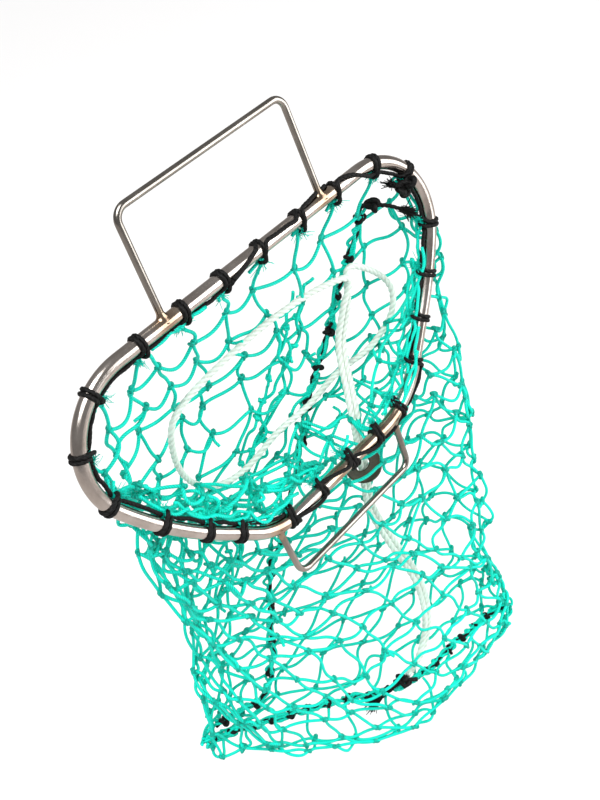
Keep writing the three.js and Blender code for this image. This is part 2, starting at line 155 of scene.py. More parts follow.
# Rows of the front that lie bunched just inside the hoop's short side: how far down the panel each row is,
# and how far into the bag and up it is pushed
FRONT_DOWN = [
    0, 0.01, 0.02, 0.03, 0.05, 0.11, 0.19, 0.27, 0.35, 0.43, 0.51, 0.59, 0.67, 0.745, 0.82, 0.885, 0.945,
    1.0]
HEAP_INWARD = np.array([0, 18, 40, 43, 24, 8, 1] + [0] * 11)
HEAP_UP = np.array([0, 9, 12, 3, -6, -3] + [0] * 12)
# Rows of the back lie closer towards the bottom, and a fold of it runs down beside the side seam
ROW_CLOSING = 1.15
FOLD_ASIDE = 0.13
FOLD_WIDTH = 0.085
# Low on the bag the netting hangs twisted: its columns step sideways by this much of a column in each row
TWIST_FROM_ROW = 5
TWIST = 0.72
# The heap of slack inside the short side: its start and end along the hoop, its width, and its knots
HEAP_PLACE = (342.0, 500.0, 26.0)
HEAP_KNOTS = 24
# Strands beside the hoop's inner edge: start and end along the hoop, angle and distance from its middle line
EDGE_STRANDS = [
    (136, 228, -35, 7.0), (170, 296, -15, 6.6), (182, 262, 8, 6.2), (232, 284, 38, 5.2),
    (246, 281, 54, 5.1), (190, 300, -55, 9.5), (600, 667, -10, 6.2), (612, 650, 8, 6.0)]
LOOSE_ENDS = 30
TUFT_FIBRES = 60

# Seam cords, their knots, and the twine of the netting's two edges, which is drawn in along them
SEAM_CORD_RADIUS = 1.15
SEAM_KNOT_SPACING = 24.0
EDGE_KNOT_SIZE = 1.7

# Pull rope and toggle, as in the part's source but for the toggle's oval hole and rounded edges
ROPE_RADIUS = 2.0
ROPE_LAY = 13.0
ROPE_STRAND_OFFSET = 2.2
ROPE_LOWER_POINTS = [
    (5, -81, -390), (20, -78, -391), (36, -74, -374), (43, -65, -343), (41, -47, -308), (40, -34.5, -283),
    (40, -33.3, -272), (40, -33.3, -240), (40, -33.3, -208), (40.8, -32.3, -200), (48, -24, -185),
    (59, -12, -163), (69, -11, -141)]
ROPE_LOOP_POINTS = [
    (78, -9, -120), (100, -12, -138), (106, -15, -151), (105, -16, -163), (100, -15, -173), (84, -12, -184),
    (54, -9, -185), (28, -6, -193), (5, -2, -197), (-21, 5, -211), (-36, 8, -211), (-50, 10, -202),
    (-61, 9, -181), (-64, 6, -154), (-60, 4, -137), (-50, 4, -131), (-31, 2, -125), (21, -3, -118),
    (60, -8, -120), (74, -12, -124)]
TOGGLE = {"place": (40, -33.3, -240), "outer": 12.0, "hole_across": 4.9, "hole_along": 3.1, "thickness": 3.2,
          "rounding": 1.1, "tilt": np.radians(27)}
# How far the toggle slides each way, and how far from its middle the front's twine stays
TOGGLE_SLIDE = 26.0
TOGGLE_CLEARANCE = 15.5


# ---- Vectors and smooth lines ----

def unit(vectors):
    return vectors / np.maximum(np.linalg.norm(vectors, axis=-1, keepdims=True), 1e-9)


def square_to(along, vectors):
    """The directions square to `along` that are nearest to the vectors."""
    return unit(vectors - (vectors * along).sum(-1, keepdims=True) * along)


def lengths_along(points):
    steps = np.linalg.norm(np.diff(points, axis=0), axis=1)
    return np.concatenate([[0], np.cumsum(steps)])


def read_line(points, lengths, wanted):
    """The points of a line at the wanted lengths along it."""
    return np.stack([np.interp(wanted, lengths, points[:, axis]) for axis in range(3)], axis=-1)


def read_table(table, wanted):
    return np.interp(wanted, *np.array(table).T)


def evenly(points, spacing):
    """The same line with its points about `spacing` apart."""
    lengths = lengths_along(points)
    return read_line(points, lengths, np.linspace(0, lengths[-1], max(2, round(lengths[-1] / spacing) + 1)))


def smooth_line(points, per_segment):
    """A centripetal Catmull-Rom line through the points, the one that the part's source draws."""
    points = np.asarray(points, float)
    padded = np.vstack([2 * points[0] - points[1], points, 2 * points[-1] - points[-2]])
    t = np.linspace(0, 1, per_segment, endpoint=False)[:, None]
    pieces = []
    for before, start, end, after in zip(padded, padded[1:], padded[2:], padded[3:]):
        first, middle, last = (np.sqrt(np.linalg.norm(b - a)) for a, b in
                               ((before, start), (start, end), (end, after)))
        leave = (start - before) / first - (end - before) / (first + middle) + (end - start) / middle
        arrive = (end - start) / middle - (after - start) / (middle + last) + (after - end) / last
        leave, arrive = leave * middle, arrive * middle
        pieces.append(start + leave * t + (3 * (end - start) - 2 * leave - arrive) * t ** 2
                      + (2 * (start - end) + leave + arrive) * t ** 3)
    return np.vstack(pieces + [points[-1:]])


def course(points, per_segment, spacing):
    """A smooth line through the points, with its own points evenly apart."""
    return evenly(smooth_line(points, per_segment), spacing)


# ---- The hoop's centre line, in the frame's own plane: x across, y up, z towards the viewer ----

def bend_points(before, corner, after, radius, steps):
    back, ahead = unit(before - corner), unit(after - corner)
    half = np.arccos(np.clip(back @ ahead, -1, 1)) / 2
    centre = corner + unit(back + ahead) * radius / np.sin(half)
    first = corner + back * radius / np.tan(half) - centre
    last = corner + ahead * radius / np.tan(half) - centre
    turn = np.arccos(np.clip(unit(first) @ unit(last), -1, 1))
    shares = np.linspace(0, 1, steps + 1)[:, None]
    return centre + (first * np.sin((1 - shares) * turn) + last * np.sin(shares * turn)) / np.sin(turn)


class HoopLine:
    """The hoop's centre line, read by the distance along it, clockwise from the middle of the long side."""

    def __init__(self):
        corners = np.array([(x, LONG_SIDE - y, 0) for x, y, _ in HOOP_CORNERS], float)
        steps = 24
        bends = [bend_points(corners[index - 1], corner, corners[(index + 1) % len(corners)], radius, steps)
                 for index, (corner, (_, _, radius)) in enumerate(zip(corners, HOOP_CORNERS))]
        self.points = np.vstack(bends + [bends[0][:1]])
        self.lengths = lengths_along(self.points)
        self.total = self.lengths[-1]
        self.start = self.lengths[steps] + abs(self.points[steps, 0])

    def at(self, distance):
        wanted = np.mod(self.start + np.asarray(distance, float), self.total)
        return read_line(self.points, self.lengths, wanted)

    def along(self, distance):
        return unit(self.at(np.asarray(distance) + 1) - self.at(np.asarray(distance) - 1))

    def inward(self, distance):
        along = self.along(distance)
        return np.stack([along[..., 1], -along[..., 0], np.zeros_like(along[..., 0])], axis=-1)

    def beside(self, distance, degrees, radius):
        """A point in the part's frame: 0 degrees is on the hoop's inside, 90 on the face that is seen."""
        angle = np.radians(np.asarray(degrees, float))[..., None]
        radius = np.asarray(radius, float)[..., None]
        across = np.cos(angle) * self.inward(distance) + np.sin(angle) * UP
        return to_part(self.at(distance) + radius * across)


hoop_line = HoopLine()


def to_part(points):
    """From the frame's own plane to the part's frame."""
    points = np.asarray(points, float)
    turn = np.pi / 2 - FRAME_LEAN
    y, z = points[..., 1], points[..., 2]
    across, up = y * np.cos(turn) - z * np.sin(turn), y * np.sin(turn) + z * np.cos(turn)
    return np.stack([points[..., 0], across, up], axis=-1)


VIEWER_SIDE = to_part(UP)
HANG_ORIGIN = to_part(np.array([0, LONG_SIDE, 0]))


# ---- The bag's surface ----

class Bag:
    """The two panels of the bag as one surface, round the hoop and down from its rim to the seam."""

    def __init__(self):
        distances = np.arange(0, hoop_line.total, 0.25)
        x = hoop_line.at(distances)[:, 0]
        self.left, self.right = distances[x.argmin()], distances[x.argmax()]
        self.over_top = hoop_line.total - self.left + self.right
        self.top_share = self.over_top / hoop_line.total
        self.seam = smooth_line(BOTTOM_SEAM_POINTS, 60)
        self.seam_lengths = lengths_along(self.seam)

    def seam_point(self, share):
        return read_line(self.seam, self.seam_lengths, np.asarray(share) * self.seam_lengths[-1])

    def panel(self, across, down, is_back):
        """A point of a panel, in the part's frame: across runs from the left fold to the right one."""
        across, down, is_back = np.broadcast_arrays(np.asarray(across, float), down, is_back)
        front_length = hoop_line.total - self.over_top
        distance = np.where(is_back, self.left + across * self.over_top, self.left - across * front_length)
        rim = hoop_line.at(distance)
        rim = rim + unit(np.array([0, LONG_SIDE - MOUTH_CENTRE_DROP, 0]) - rim) * RIM_INSET
        rim = to_part(rim - RIM_SET_BACK * UP) - HANG_ORIGIN
        seam_share = (1 - np.cos(np.pi * across)) / 2
        foot = self.seam_point(seam_share)
        ahead, behind = np.minimum(seam_share + 0.01, 1), np.maximum(seam_share - 0.01, 0)
        way = self.seam_point(ahead) - self.seam_point(behind)
        sideways = unit(np.stack([-way[..., 1], way[..., 0], np.zeros_like(across)], axis=-1))
        foot = foot + sideways * np.where(is_back, SEAM_HALF_GAP, -SEAM_HALF_GAP)[..., None]
        point = rim + (foot - rim) * down[..., None]
        across = np.clip(across, 0, 1)
        fullness = np.where(is_back, 1, read_table(FRONT_HANG, across))
        fullness = fullness * np.sin(np.pi * np.where(is_back, across, across ** 0.85)) ** 0.8
        belly = np.sin(np.pi * down ** 3) ** 0.9
        point[..., 0] += (1 - seam_share) * LEFT_FOLD_SHIFT * np.sin(np.pi * down) ** 0.6
        point[..., 0] += (1 - seam_share) ** 12 * read_table(LEFT_FOLD_WAVE, down)
        point[..., 0] += seam_share * RIGHT_FOLD_SHIFT * np.sin(np.pi * down ** 0.75)
        point[..., 0] += seam_share ** 12 * RIGHT_FOLD_WAVE * np.sin(TURN * down ** 0.8)
        point[..., 1] += np.where(is_back, BACK_BULGE * fullness * np.sin(np.pi * down) ** 0.8,
                                  -FRONT_BULGE * fullness * belly)
        point[..., 2] -= np.where(is_back, 0, FRONT_SAG * fullness * belly)
        return point + HANG_ORIGIN

    def place(self, round_share, down):
        """The panel coordinates of a share of the way round the bag, from the left fold over the back."""
        round_share = np.mod(np.asarray(round_share, float), 1)
        is_back = round_share < self.top_share
        front_share = (round_share - self.top_share) / (1 - self.top_share)
        across = np.where(is_back, round_share / self.top_share, 1 - front_share)
        return across, np.asarray(down, float), is_back

    def point(self, round_share, down):
        return self.panel(*self.place(round_share, down))

    def outward(self, round_share, down):
        step = 0.004
        sideways = self.point(round_share + step, down) - self.point(round_share - step, down)
        low, high = np.maximum(down - 0.02, 0), np.minimum(down + 0.02, 0.999)
        downward = self.point(round_share, high) - self.point(round_share, low)
        return unit(np.cross(sideways, downward)) * -1


bag = Bag()


# ---- Meshes of swept tubes ----

def carried_sides(paths, closed):
    """Two directions square to each path at each point, carried along it without twisting."""
    if closed:
        along = unit(np.roll(paths, -1, axis=1) - np.roll(paths, 1, axis=1))
    else:
        along = unit(np.gradient(paths, axis=1))
    start = along[:, 0]
    side = np.empty_like(paths)
    side[:, 0] = square_to(start, np.where(np.abs(start[:, 2:3]) < 0.9, UP, np.array([1.0, 0, 0])))
    for k in range(1, paths.shape[1]):
        side[:, k] = square_to(along[:, k], side[:, k - 1])
    other = np.cross(along, side)
    if closed:
        last = square_to(start, side[:, -1])
        miss = np.arctan2((last * other[:, 0]).sum(-1), (last * side[:, 0]).sum(-1))
        turn = -miss[:, None, None] * np.linspace(0, 1, paths.shape[1])[None, :, None]
        side, other = np.cos(turn) * side + np.sin(turn) * other, np.cos(turn) * other - np.sin(turn) * side
    return side, other


def grid_faces(rows, columns, closed=False):
    """The faces of a grid of points. Each row is a ring, and if closed the rows make a ring too."""
    row, column = np.meshgrid(np.arange(rows if closed else rows - 1), np.arange(columns), indexing="ij")
    ahead, beside = (row + 1) % rows * columns, (column + 1) % columns
    row = row * columns
    return np.stack([row + column, row + beside, ahead + beside, ahead + column], -1).reshape(-1, 4)


def sweep(paths, radius, sides, closed=False, strands=0, lay=1.0, groove=0.0):
    """Tubes along paths of as many points each: vertices, faces, and UVs round the tube and mm along it.

    With strands, the tube's surface is that many strands twisted together, one turn in each `lay` mm."""
    paths = np.asarray(paths, float)
    if paths.ndim == 2:
        paths = paths[None]
    count, points, _ = paths.shape
    side, other = carried_sides(paths, closed)
    steps = np.linalg.norm(np.diff(paths, axis=1), axis=2)
    along = np.concatenate([np.zeros((count, 1)), np.cumsum(steps, axis=1)], axis=1)
    angle = TURN * np.arange(sides) / sides
    size = np.broadcast_to(np.asarray(radius, float), (count, points))[..., None] * np.ones(sides)
    if strands:
        phase = strands * (angle - TURN * along[..., None] / lay)
        size = size * (1 - groove * (0.5 - 0.5 * np.cos(phase)) ** 2)
    ring = np.cos(angle)[:, None] * side[:, :, None] + np.sin(angle)[:, None] * other[:, :, None]
    vertices = (paths[:, :, None] + size[..., None] * ring).reshape(-1, 3)
    first = points * sides * np.arange(count)[:, None, None]
    tube = grid_faces(points, sides, closed)
    row, corner = np.divmod(np.arange(len(tube)), sides)
    ahead = np.minimum(row + 1, points - 1)
    v = along[:, np.stack([row, row, ahead, ahead], -1)]
    u = np.broadcast_to(np.stack([corner, corner + 1, corner + 1, corner], -1) / sides, v.shape)
    uvs = np.stack([u, v], -1).reshape(-1, 2)
    caps = []
    if not closed:
        end = np.arange(sides)
        caps = np.concatenate([first[:, 0] + end[::-1], first[:, 0] + (points - 1) * sides + end]).tolist()
        uvs = np.vstack([uvs, np.zeros((2 * count * sides, 2))])
    return vertices, (first + tube).reshape(-1, 4).tolist() + caps, uvs


def joined(shapes):
    """Several (vertices, faces, UVs) as one."""
    vertices, faces, uvs, start = [], [], [], 0
    for part_vertices, part_faces, part_uvs in shapes:
        vertices.append(part_vertices)
        faces.extend([index + start for index in face] for face in part_faces)
        uvs.append(part_uvs)
        start += len(part_vertices)
    return np.vstack(vertices), faces, np.vstack(uvs)


def add_object(name, data):
    thing = bpy.data.objects.new(name, data)
    bpy.context.scene.collection.objects.link(thing)
    return thing


def make_piece(name, shape, material, replaced=(), body="net"):
    vertices, faces, uvs = shape
    mesh = bpy.data.meshes.new(name)
    mesh.from_pydata((np.asarray(vertices) * MM).tolist(), [], faces)
    layer = mesh.uv_layers.new(name="along")
    layer.data.foreach_set("uv", np.asarray(uvs, np.float32).ravel())
    mesh.polygons.foreach_set("use_smooth", np.ones(len(mesh.polygons), bool))
    mesh.materials.append(material)
    mesh.update()
    piece = add_object(name, mesh)
    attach(piece, body)
    if replaced:
        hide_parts(*replaced)
    return piece


# ---- Materials ----

class Nodes:
    """A material's node tree, with short ways to add nodes and to fill their inputs."""

    def __init__(self, name):
        self.material = bpy.data.materials.new(name)
        self.material.use_nodes = True
        self.tree = self.material.node_tree
        self.shader = self.tree.nodes["Principled BSDF"]

    def fill(self, node, inputs):
        """Links each input to another node's socket, or gives it a plain value."""
        for key, value in dict(inputs).items():
            if isinstance(value, bpy.types.NodeSocket):
                self.tree.links.new(value, node.inputs[key])
            else:
                node.inputs[key].default_value = value

    def add(self, kind, inputs=(), **settings):
        node = self.tree.nodes.new("ShaderNode" + kind)
        for key, value in settings.items():
            setattr(node, key, value)
        self.fill(node, inputs)
        return node

    def math(self, operation, *values):
        return self.add("Math", enumerate(values), operation=operation).outputs[0]

    def noise(self, coordinates, scale, detail=3.0, roughness=0.5):
        inputs = {"Vector": coordinates, "Scale": scale, "Detail": detail, "Roughness": roughness}
        return self.add("TexNoise", inputs).outputs["Fac"]

    def ramp(self, value, stops):
        node = self.add("ValToRGB", {"Fac": value})
        elements = node.color_ramp.elements
        while len(elements) < len(stops):
            elements.new(0.5)
        for element, (position, colour) in zip(elements, stops):
            element.position = position
            element.color = (*colour, 1)
        return node.outputs["Color"]

    def bump(self, height, distance, strength=1.0, under=None):
        inputs = {"Height": height, "Distance": distance, "Strength": strength}
        if under is not None:
            inputs["Normal"] = under
        return self.add("Bump", inputs).outputs["Normal"]

    def place(self):
        return self.add("TexCoord").outputs["Object"]

    def along(self):
        """(round the tube from 0 to 1, millimetres along it) from the UV map, as two sockets."""
        node = self.add("SeparateXYZ", {0: self.add("UVMap", uv_map="along").outputs["UV"]})
        return node.outputs["X"], node.outputs["Y"]

    def strands(self, count, lay):
        """Height of strands twisted together: 1 on a strand's crown, 0 in the groove."""
        around, along = self.along()
        turns = self.math("SUBTRACT", around, self.math("DIVIDE", along, lay))
        wave = self.math("COSINE", self.math("MULTIPLY", turns, TURN * count))
        return self.math("MULTIPLY_ADD", wave, 0.5, 0.5)


def cord_material(name, dark, light, lay, roughness=0.7, specular=0.4, depth=0.0002, wear=60.0):
    """Twisted fibres: grooves between the strands, fine fibres along them, and a colour that varies at
    random, with painted shade that darkens it in the grooves.
    """
    nodes = Nodes(name)
    crown = nodes.strands(3, lay)
    place = nodes.place()
    patches = nodes.noise(place, wear, 4.0, 0.6)
    fine = nodes.noise(place, 2500.0, 2.0, 0.7)
    # Painted shade: the base colour is made darker towards each groove between the strands.
    shade = nodes.math("MULTIPLY_ADD", crown, 0.45, 0.55)
    mixed = nodes.math("MULTIPLY", shade, nodes.math("MULTIPLY_ADD", patches, 0.9, 0.55))
    nodes.fill(nodes.shader, {
        "Base Color": nodes.ramp(mixed, [(0.25, dark), (0.85, light)]),
        "Normal": nodes.bump(crown, depth, under=nodes.bump(fine, 0.00008)),
        "Roughness": nodes.math("MULTIPLY_ADD", fine, 0.25, roughness - 0.12),
        "Specular IOR Level": specular})
    return nodes.material


def steel_material(name, dark, light, heated, brushing=60.0):
    """Brushed stainless steel: grain along the tube, smears, marks, and brown tints where it was heated."""
    nodes = Nodes(name)
    around, along = nodes.along()
    around = nodes.math("MULTIPLY", around, TURN)
    grain_place = {"Z": nodes.math("MULTIPLY", along, 0.25)}
    for axis, wave in (("X", "SINE"), ("Y", "COSINE")):
        grain_place[axis] = nodes.math("MULTIPLY", nodes.math(wave, around), brushing)
    grain = nodes.noise(nodes.add("CombineXYZ", grain_place).outputs[0], 1.0, 3.0, 0.6)
    smears = nodes.noise(nodes.place(), 55.0, 4.0, 0.6)
    marks = nodes.noise(nodes.place(), 420.0, 2.0, 0.5)
    tone = nodes.math("MULTIPLY_ADD", smears, 0.7, nodes.math("MULTIPLY", grain, 0.3))
    heat = 0.0
    for spot in heated:
        away = nodes.add("VectorMath", {0: nodes.place(), 1: spot * MM}, operation="DISTANCE")
        near = nodes.math("MULTIPLY_ADD", away.outputs["Value"], -1 / (HEAT_REACH * MM), 1.0)
        heat = nodes.math("MAXIMUM", near, heat)
    heat = nodes.math("MULTIPLY", heat, nodes.math("MULTIPLY_ADD", smears, 1.2, 0.4))
    bare = nodes.ramp(tone, [(0.3, dark), (0.7, light)])
    colours = {"A": bare, "B": nodes.ramp(heat, HEAT_TINTS), "Factor": 1.0}
    rough = nodes.math("MULTIPLY_ADD", grain, 0.14, nodes.math("MULTIPLY", smears, 0.14))
    nodes.fill(nodes.shader, {
        "Base Color": nodes.add("Mix", colours, data_type="RGBA", blend_type="MULTIPLY").outputs["Result"],
        "Roughness": nodes.math("MULTIPLY_ADD", marks, 0.08, rough),
        "Normal": nodes.bump(grain, 0.00002, 0.6),
        "Metallic": 1.0,
        "Anisotropic": 0.4})
    return nodes.material


def toggle_material():
    nodes = Nodes("worn_olive_plastic")
    place = nodes.place()
    patches = nodes.noise(place, 120.0, 5.0, 0.65)
    scratches = nodes.noise(place, 900.0, 3.0, 0.6)
    tone = nodes.math("MULTIPLY_ADD", patches, 0.75, nodes.math("MULTIPLY", scratches, 0.25))
    tones = [(0.3, (0.022, 0.016, 0.006)), (0.55, (0.050, 0.038, 0.016)), (0.8, (0.10, 0.085, 0.045))]
    nodes.fill(nodes.shader, {
        "Base Color": nodes.ramp(tone, tones),
        "Roughness": nodes.math("MULTIPLY_ADD", patches, 0.35, 0.3),
        "Normal": nodes.bump(tone, 0.0002, 0.7)})
    return nodes.material


def floor_material():
    """White to the camera, with a darker colour painted in for the rays that the steel mirrors: a painted
    reflection, standing for a studio beyond the sheet of paper.
    """
    nodes = Nodes("pale_floor")
    # Painted reflection: glossy rays see a darker floor colour than the camera does.
    mirrored = nodes.add("LightPath").outputs["Is Glossy Ray"]
    nodes.fill(nodes.shader, {
        "Base Color": nodes.ramp(mirrored, [(0.0, (0.89, 0.89, 0.89)), (1.0, (0.56, 0.52, 0.50))]),
        "Roughness": 0.9})
    return nodes.material


# ---- Camera, light and floor ----

def make_camera():
    data = bpy.data.cameras.new("camera")
    data.lens = CAMERA_LENS
    data.sensor_width = 36.0
    data.clip_start = 0.01
    data.clip_end = 20.0
    forward = Vector(CAMERA_FORWARD).normalized()
    right = forward.cross(Vector(CAMERA_UP)).normalized()
    turn = Matrix((right, right.cross(forward), -forward)).transposed()
    camera = add_object("camera", data)
    camera.matrix_world = Matrix.Translation(Vector(CAMERA_PLACE) * MM) @ turn.to_4x4()
    bpy.context.scene.camera = camera


def make_light(name, kind, turn, power, place=(0, 0, 0), **settings):
    data = bpy.data.lights.new(name, kind)
    data.energy = power
    for key, value in settings.items():
        setattr(data, key, value)
    light = add_object(name, data)
    light.location = place
    light.rotation_euler = turn.to_euler()


def make_studio():
    middle = Vector((0, -0.03, -0.2))
    for name, place, size, power in (("key_light", (-0.9, -0.5, 1.5), 1.2, 14),
                                     ("side_light", (1.0, -1.15, 0.2), 1.3, 22)):
        turn = (middle - Vector(place)).to_track_quat("-Z", "Y")
        make_light(name, "AREA", turn, power, place, shape="SQUARE", size=size)
    turn = Vector((-0.35, -0.15, 1.0)).to_track_quat("Z", "Y")
    make_light("overhead_light", "SUN", turn, 2.5, angle=np.radians(40))
    world = bpy.data.worlds.new("studio")
    world.use_nodes = True
    background = world.node_tree.nodes["Background"].inputs
    background["Color"].default_value = (0.95, 0.93, 0.92, 1)
    background["Strength"].default_value = 0.3
    bpy.context.scene.world = world
    bpy.context.scene.view_settings.view_transform = "Standard"
    low = cad_box[0].z - FLOOR_DROP * MM
    mesh = bpy.data.meshes.new("floor")
    corners = [(x * FLOOR_REACH, y * FLOOR_REACH, low) for x, y in ((-1, -1), (1, -1), (1, 1), (-1, 1))]
    mesh.from_pydata(corners, [], [(0, 1, 2, 3)])
    mesh.materials.append(floor_material())
    add_object("floor", mesh)


# ---- Pull rope and toggle ----

def rope_route():
    def shifted(offset):
        return [(x + offset, y, z) for x, y, z in ROPE_LOWER_POINTS]
    points = shifted(ROPE_STRAND_OFFSET) + ROPE_LOOP_POINTS + shifted(-ROPE_STRAND_OFFSET)[::-1]
    return course(points, 24, 1.0)


def make_rope():
    route = rope_route()
    shape = sweep(route, ROPE_RADIUS, 18, strands=3, lay=ROPE_LAY, groove=0.26)
    rope = make_piece("pull_rope_twisted", shape, rope_fibre, ["pull_rope"])
    toggle = make_toggle()


def make_toggle():
    """A disc with rounded edges and an oval hole that the rope's two strands fill."""
    half, outer, rounding = TOGGLE["thickness"] / 2, TOGGLE["outer"], TOGGLE["rounding"]
    segments = 72
    angle = TURN * np.arange(segments) / segments
    hole = 1 / np.hypot(np.cos(angle) / TOGGLE["hole_across"], np.sin(angle) / TOGGLE["hole_along"])
    quarter = np.linspace(0, np.pi / 2, 6)
    section = []
    for at_hole, side, start in ((1, -1, np.pi), (0, -1, 1.5 * np.pi), (0, 1, 0), (1, 1, 0.5 * np.pi)):
        centre = (hole + rounding) * at_hole + (outer - rounding) * (1 - at_hole)
        level = side * (half - rounding)
        section += [(centre + rounding * np.cos(a), level + rounding * np.sin(a)) for a in start + quarter]
    rings = [np.stack([radius * np.cos(angle), radius * np.sin(angle), np.full(segments, height)], -1)
             for radius, height in section]
    faces = grid_faces(len(rings), segments, closed=True)
    facing = unit(np.array([-0.65, -0.76, 0]))
    turn = np.array(Matrix.Rotation(TOGGLE["tilt"], 3, Vector(np.cross(UP, facing))))
    vertices = np.vstack(rings) @ turn.T + np.array(TOGGLE["place"])
    shape = (vertices, faces.tolist(), np.zeros((faces.size, 2)))
    return make_piece("toggle_disc", shape, olive_plastic, ["toggle"], body="toggle")


# ---- Steel frame ----

def make_hoop():
    path = to_part(hoop_line.at(np.arange(0, hoop_line.total, 1.8)))
    make_piece("hoop_tube", sweep(path, HOOP_RADIUS, 28, closed=True), steel, ["hoop"])


def short_side_at(x):
    distances = np.arange(0, hoop_line.total, 0.25)
    points = hoop_line.at(distances)
    low = points[:, 1] < LONG_SIDE - SHORT_SIDE_DROP / 2
    return distances[low][np.abs(points[low, 0] - x).argmin()]


def handle_path(left, right, bar_height, handle):
    """The rod's centre line, between feet that reach just into the hoop's tube."""
    bar_left = np.array([-handle["bar"], bar_height, 0.0])
    bar_right = np.array([handle["bar"], bar_height, 0.0])
    return np.vstack([left, bend_points(left, bar_left, bar_right, handle["bend"], 14),
                      bend_points(bar_left, bar_right, right, handle["bend"], 14), right])


def weld_shape(foot, distance, rod_side, seed):
    """A fillet from the rod's surface down to the hoop's tube, with the ripple of a hand-made weld."""
    rng = np.random.default_rng(seed)
    rings, sides = 14, 40
    spread = np.linspace(0, 1, rings)[:, None]
    angle = TURN * np.arange(sides) / sides
    ripple = 1 + 0.05 * np.sin(9 * angle + rng.uniform(0, 6)) + 0.04 * rng.standard_normal(sides)
    radius = ROD_RADIUS - 0.1 + WELD_WIDTH * ripple * spread ** 2.3
    x, z = radius * np.cos(angle), radius * np.sin(angle)
    centre, along = hoop_line.at(distance), hoop_line.along(distance)
    slope = along[1] / along[0]
    tube_face = centre[1] + slope * (foot[0] - centre[0] + x)
    lift = np.sqrt(np.maximum(HOOP_RADIUS ** 2 - z ** 2, 0.5)) * np.hypot(1, slope) - 0.15 * spread
    height = tube_face + rod_side * (lift + WELD_HEIGHT * (1 - spread) ** 1.7)
    faces = grid_faces(rings, sides)
    if rod_side > 0:
        faces = faces[:, ::-1]
    uvs = np.stack([faces % sides / sides, faces // sides * 0.5], -1).reshape(-1, 2)
    return to_part(np.stack([foot[0] + x, height, z], -1).reshape(-1, 3)), faces.tolist(), uvs


def make_handles(foot_places):
    low_bar = LONG_SIDE - SHORT_SIDE_DROP - LOWER_HANDLE["reach"]
    for name, handle, bar, side, places in (("upper", UPPER_HANDLE, 0.0, 1, foot_places[:2]),
                                            ("lower", LOWER_HANDLE, low_bar, -1, foot_places[2:])):
        feet = []
        for which, distance, x in zip(("left", "right"), places, (-handle["foot"], handle["foot"])):
            foot = np.array([x, hoop_line.at(distance)[1] + side * (HOOP_RADIUS - 1.2), 0.0])
            feet.append(foot)
            shape = weld_shape(foot, distance, side, seed=len(name) + int(distance))
            make_piece(f"weld_bead_{name}_{which}", shape, weld_steel, [f"weld_{name}_{which}"])
        path = to_part(evenly(handle_path(*feet, bar, handle), 1.2))
        make_piece(f"{name}_handle_rod", sweep(path, ROD_RADIUS, 20), shaded_rod_steel, [f"{name}_handle"])


# ---- Lacing ----

def hitch_keys(place, start_angle, arrive_angle, leave_angle, turns, rng):
    """(distance, angle, radius) along one hitch: turns round the tube that cross on the hoop's inside."""
    resting, high = HOOP_RADIUS + LACE_RADIUS, HOOP_RADIUS + 2.7 * LACE_RADIUS
    apart = LACE_RADIUS * rng.uniform(0.90, 1.04)
    skew, phase = rng.uniform(0.1, 0.5), rng.uniform(0, 6.28)
    doubles_back = start_angle > arrive_angle + 25
    shift = apart * (1 - turns)

    def pressed(first, last):
        return [(place + shift, angle, TURN_RADIUS) for angle in np.arange(first, last, 20)]

    keys = [(place - (0.3 if doubles_back else 3.8), arrive_angle, resting)] + pressed(arrive_angle + 45, 330)
    for turn in range(1, turns):
        keys += [(place + shift + 0.5 * apart, 360 * turn - 10, high),
                 (place + shift + 1.5 * apart, 360 * turn + 12, high)]
        shift += 2 * apart
        last = 360 * (turn + 1) + (leave_angle if turn == turns - 1 else 0)
        keys += pressed(360 * turn + 45, last - 45)
    keys += [(place + shift + 0.4, last - 30, resting), (place + shift + 2.6, last, resting)]
    return [(d + skew * np.sin(np.radians(a) + phase), a, r) for d, a, r in keys]


def lacing_route():
    """The whole lacing cord, planned in (distance, angle, radius) round the hoop's tube."""
    rng = np.random.default_rng(11)
    keys = []
    turned = 0.0
    for index, place in enumerate(HITCH_PLACES):
        start, arrive = RUN_ANGLES.get(index, (0, 0))
        leave = RUN_ANGLES.get((index + 1) % len(HITCH_PLACES), (0, 0))[0]
        turns = 3 if index in THREE_TURNS else 2
        hitch = [(d, turned + a, r) for d, a, r in hitch_keys(place, start, arrive, leave, turns, rng)]
        if keys:
            before, after = keys[-1], hitch[0]
            for share in (0.3, 0.5, 0.7):
                ease = share * share * (3 - 2 * share)
                slack = rng.uniform(0.1, 0.9)
                keys.append((before[0] + share * (after[0] - before[0]),
                             before[1] + ease * (after[1] - before[1]), before[2] + slack))
        keys += hitch
        turned += 360 * turns
    scale = np.array([1.0, DEGREE_SIZE, 1.0])
    distance, degrees, radius = (smooth_line(np.array(keys) * scale, 8) / scale).T
    return evenly(hoop_line.beside(distance, degrees, radius), 0.9)


def trefoil(points, height):
    """A closed loop of cord that is tied through itself."""
    t = TURN * np.arange(points) / points
    across, up = np.sin(t) + 2 * np.sin(2 * t), np.cos(t) - 2 * np.cos(2 * t)
    return np.stack([across, up, -height * np.sin(3 * t)], axis=1)


def overhand_knot(centre, size, cord_radius, seed, points=44, sides=10):
    """A tied lump: a trefoil of cord, turned at random."""
    rng = np.random.default_rng(seed)
    turn = np.array(Matrix.Rotation(rng.uniform(0, 6.28), 3, Vector(rng.standard_normal(3)).normalized()))
    loop = (trefoil(points, 1.2) * (1.0, 1.35, 0.85) * size / 3) @ turn.T + centre
    return sweep(loop, cord_radius, sides, closed=True)


def twine_knot(centre, seed):
    return overhand_knot(centre, EDGE_KNOT_SIZE, TWINE_RADIUS, seed, 22, 6)


